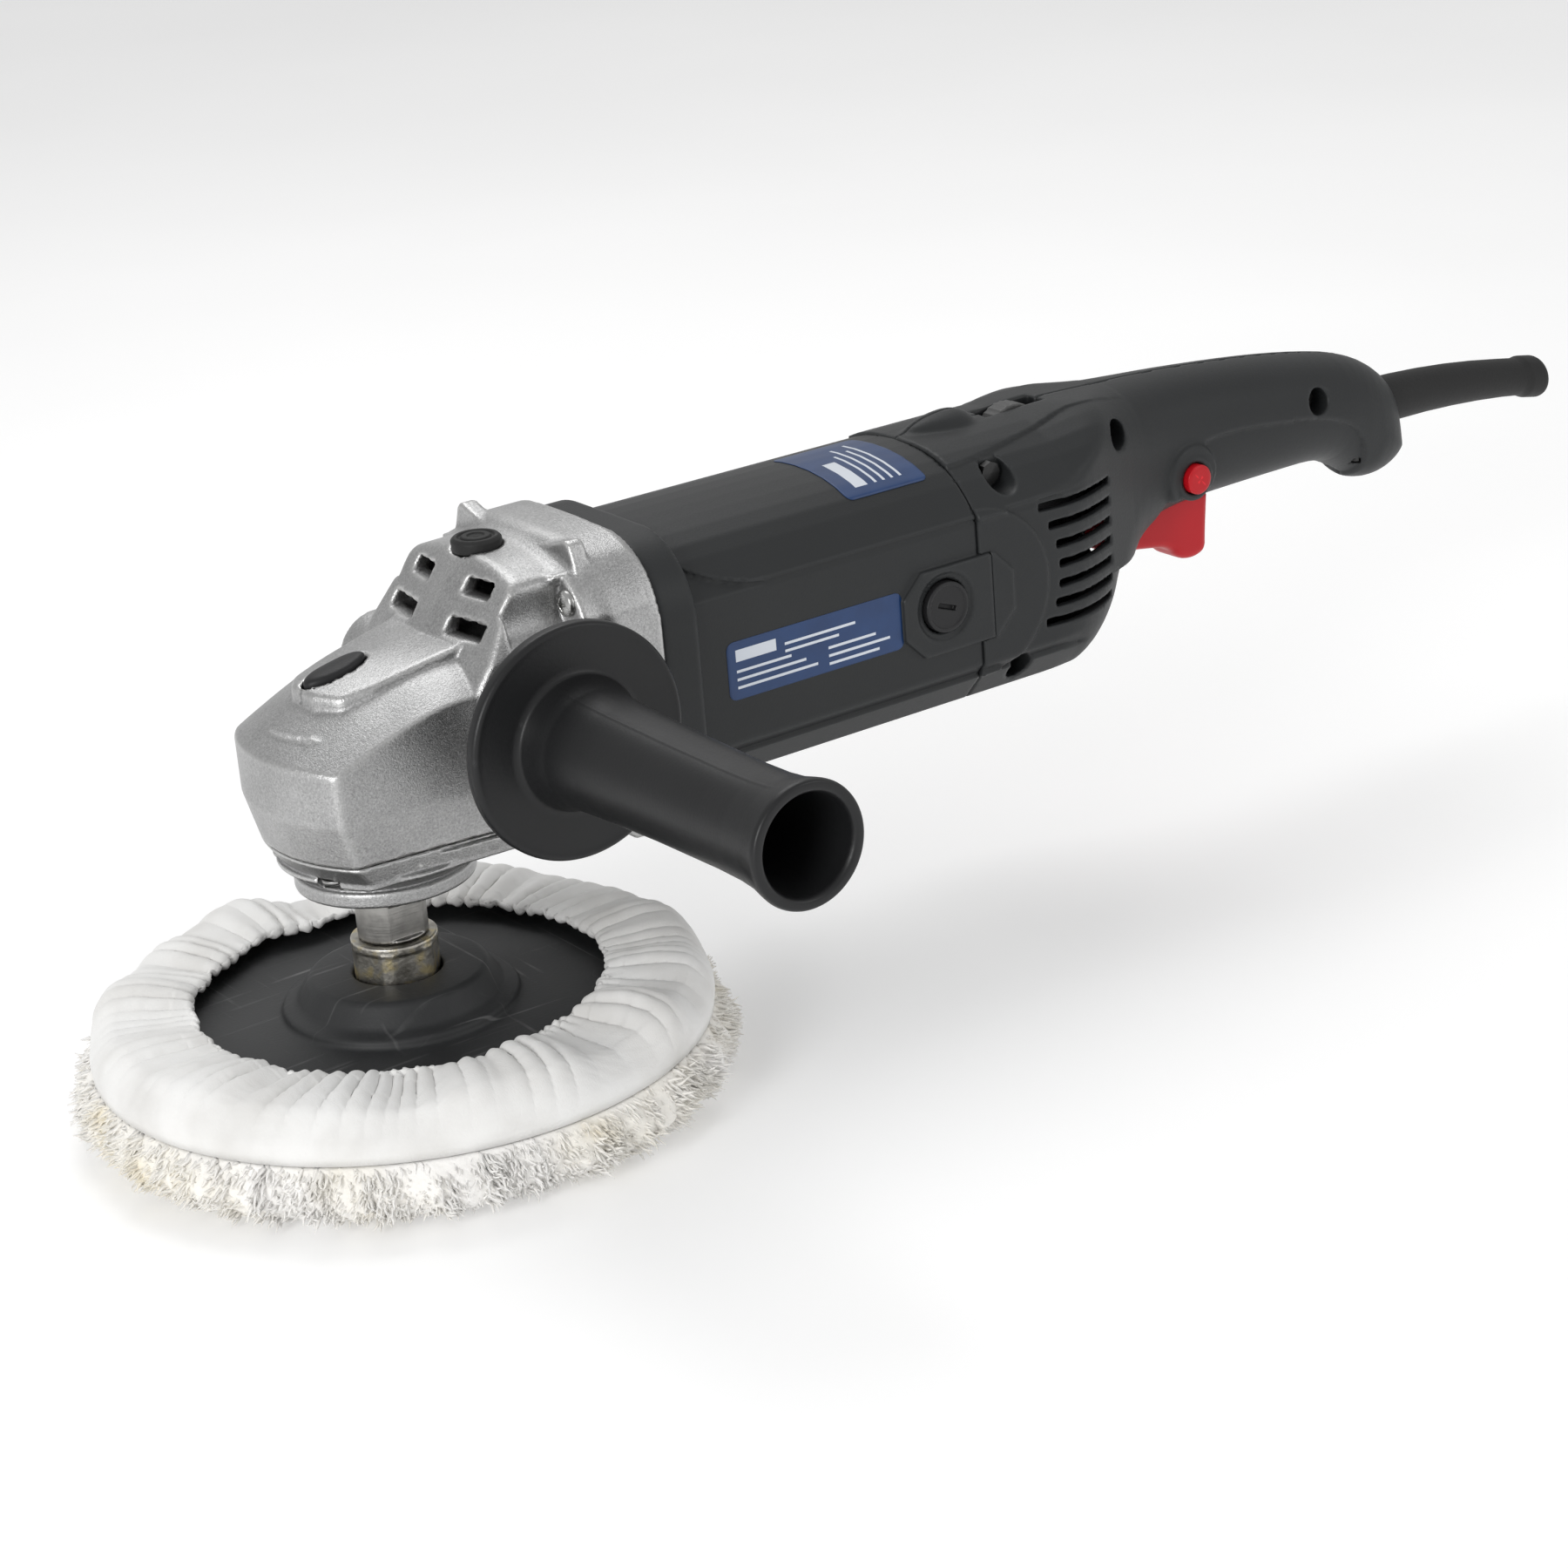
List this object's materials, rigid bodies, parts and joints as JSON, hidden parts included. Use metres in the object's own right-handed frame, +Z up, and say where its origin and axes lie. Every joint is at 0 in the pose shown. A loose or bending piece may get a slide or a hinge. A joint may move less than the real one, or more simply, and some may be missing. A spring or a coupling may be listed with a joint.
{
  "type": "rotary polisher",
  "caption": "Corded rotary polisher: cast gear head, straight motor body, rear trigger handle, screw-in side handle, and a flexible backing pad with a tie-on wool bonnet.",
  "frame": {"origin": "centre of the wool bonnet's polishing face, on the spindle axis", "axes": "+Z up along the spindle away from the work, +X from the spindle towards the rear handle, -Y towards the side handle"},
  "size_m": [0.557, 0.263, 0.1558],
  "materials": {
    "cast_aluminium": "satin die-cast, fine grain",
    "bright_steel": "turned steel",
    "dark_steel": "blackened steel",
    "plated_brass": "worn nickel-plated brass",
    "copper": "varnished copper",
    "carbon": "carbon block",
    "housing_plastic": "fine moulded texture, charcoal",
    "black_plastic": "satin black",
    "black_rubber": "satin black rubber",
    "red_plastic": "satin red",
    "cotton": "white woven cotton",
    "wool": "cream wool pile"
  },
  "bodies": {
    "root": {"gear_head": "cast_aluminium", "gear_cover": "cast_aluminium", "cover_screw_1": "bright_steel", "cover_screw_2": "bright_steel", "cover_screw_3": "bright_steel", "cover_screw_4": "bright_steel", "spindle_bearing": "bright_steel", "spindle_top_bush": "plated_brass", "pinion_bearing": "bright_steel", "top_plug": "black_rubber", "head_screw_1": "bright_steel", "head_screw_2": "bright_steel", "head_screw_3": "bright_steel", "head_screw_4": "bright_steel", "head_louvre": "black_plastic", "motor_housing": "housing_plastic", "stator_core": "dark_steel", "field_coil_1": "copper", "field_coil_2": "copper", "brush_holder_1": "plated_brass", "brush_holder_2": "plated_brass", "carbon_brush_1": "carbon", "carbon_brush_2": "carbon", "brush_spring_1": "bright_steel", "brush_spring_2": "bright_steel", "brush_cap_1": "black_plastic", "brush_cap_2": "black_plastic", "rear_bearing": "bright_steel", "bearing_sleeve": "black_rubber", "handle_left": "housing_plastic", "handle_right": "housing_plastic", "handle_screw_1": "bright_steel", "handle_screw_2": "bright_steel", "handle_screw_3": "bright_steel", "handle_screw_4": "bright_steel", "switch_body": "black_plastic", "speed_module": "black_plastic", "cable_sleeve": "black_rubber", "cord_clamp": "black_plastic", "clamp_screw_1": "bright_steel", "clamp_screw_2": "bright_steel", "side_grip": "black_plastic", "grip_stud": "bright_steel"},
    "spindle": {"spindle": "bright_steel", "crown_gear": "dark_steel", "backing_pad": "black_plastic", "pad_nut": "plated_brass", "bonnet_wool": "wool", "bonnet_skirt": "cotton"},
    "armature": {"armature_shaft": "bright_steel", "pinion": "bright_steel", "cooling_fan": "black_plastic", "armature_core": "dark_steel", "armature_windings": "copper", "commutator": "copper"},
    "spindle_lock": {"spindle_lock_button": "black_plastic"},
    "trigger": {"trigger": "red_plastic"},
    "lock_on": {"lock_on_button": "red_plastic"},
    "speed_dial": {"speed_dial": "black_plastic"}
  },
  "joints": [
    {"name": "spindle_spin", "type": "hinge", "parent": "root", "child": "spindle", "pos_m": [0, 0, 0.08], "axis": [0, 0, 1], "continuous": true},
    {"name": "armature_spin", "type": "hinge", "parent": "root", "child": "armature", "pos_m": [0.1, 0, 0.1095], "axis": [1, 0, 0], "continuous": true},
    {"name": "spindle_lock_press", "type": "slide", "parent": "root", "child": "spindle_lock", "axis": [0, 0, -1], "range_m": [0, 0.004], "stiffness_N_per_m": 600, "springref_m": -0.003},
    {"name": "trigger_pull", "type": "hinge", "parent": "root", "child": "trigger", "pos_m": [0.2665, 0, 0.1035], "axis": [0, -1, 0], "range_deg": [0, 8], "stiffness_Nm_per_rad": 2, "springref_deg": -8.59},
    {"name": "lock_on_press", "type": "slide", "parent": "root", "child": "lock_on", "axis": [0, 1, 0], "range_m": [0, 0.003], "stiffness_N_per_m": 400, "springref_m": -0.002},
    {"name": "speed_dial_turn", "type": "hinge", "parent": "root", "child": "speed_dial", "pos_m": [0.229, 0, 0.1413], "axis": [0, 1, 0], "range_deg": [-135, 135]}
  ],
  "couplings": [
    {"joint": "armature_spin", "follows": "spindle_spin", "ratio": 4.5556}
  ]
}
